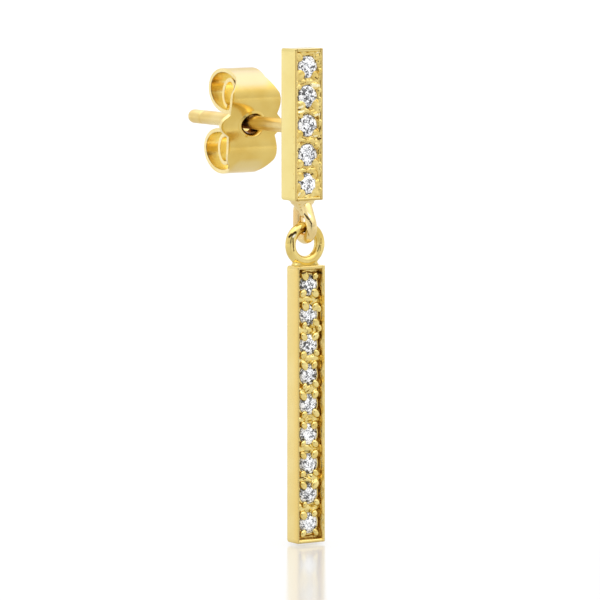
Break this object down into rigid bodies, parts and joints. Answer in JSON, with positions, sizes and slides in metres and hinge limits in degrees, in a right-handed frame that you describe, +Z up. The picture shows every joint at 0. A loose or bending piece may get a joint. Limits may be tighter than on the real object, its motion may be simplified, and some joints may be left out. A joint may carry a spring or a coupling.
{
  "type": "drop earring",
  "caption": "Bar drop earring: a short stone-set bar on a post with a butterfly nut, and a longer stone-set bar swinging below it on two rings.",
  "frame": {"origin": "on the post's axis, at the back face of the stud bar, where the earring rests on the lobe", "axes": "+X across the bars, +Y along the post away from the stones, +Z up"},
  "size_m": [0.0042, 0.013, 0.028],
  "materials": {
    "gold_stud": "polished yellow gold",
    "gold_drop": "polished yellow gold",
    "gold_nut": "polished yellow gold",
    "stone": "clear, colourless, cut and polished"
  },
  "bodies": {
    "stud": {"stud_bar": "gold_stud", "stone_upper_1": "stone", "stone_upper_2": "stone", "stone_upper_3": "stone", "stone_upper_4": "stone", "stone_upper_5": "stone"},
    "drop": {"drop_bar": "gold_drop", "stone_lower_1": "stone", "stone_lower_2": "stone", "stone_lower_3": "stone", "stone_lower_4": "stone", "stone_lower_5": "stone", "stone_lower_6": "stone", "stone_lower_7": "stone", "stone_lower_8": "stone", "stone_lower_9": "stone"},
    "nut": {"ear_nut": "gold_nut"}
  },
  "joints": [
    {"name": "drop_swing", "type": "hinge", "parent": "stud", "child": "drop", "pos_m": [0, -0.00102, -0.00624], "axis": [0, 1, 0], "range_deg": [-60, 60]},
    {"name": "nut_slide", "type": "slide", "parent": "stud", "child": "nut", "axis": [0, 1, 0], "range_m": [-0.0037, 0.0066]}
  ]
}
